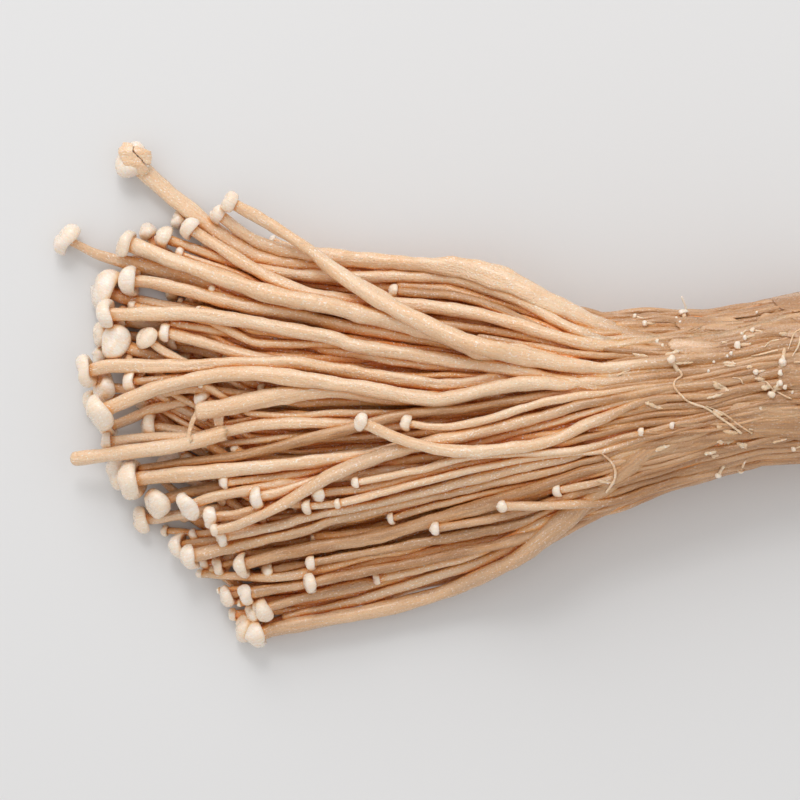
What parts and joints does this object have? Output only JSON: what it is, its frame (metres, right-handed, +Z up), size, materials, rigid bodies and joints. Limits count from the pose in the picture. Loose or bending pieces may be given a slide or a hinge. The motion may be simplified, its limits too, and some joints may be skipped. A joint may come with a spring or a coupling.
{
  "type": "enoki mushroom bunch",
  "caption": "A bunch of enoki mushrooms lying down: slim bent stems with small domed caps fan out from a fused, ribbed root that is cut square, with a snapped stem lying loose on top.",
  "frame": {"origin": "the middle of the bunch's bounding box, at the level of the surface it lies on", "axes": "+X runs from the caps to the cut root, +Y across the fan, +Z up from the surface that the bunch lies on"},
  "size_m": [0.1627, 0.1006, 0.0266],
  "materials": {
    "mushroom": "moist, slightly translucent tan mushroom flesh, cream on the caps and orange-brown in the gaps"
  },
  "bodies": {
    "root": {"enoki_bunch": "mushroom", "snapped_stem": "mushroom"}
  },
  "joints": []
}
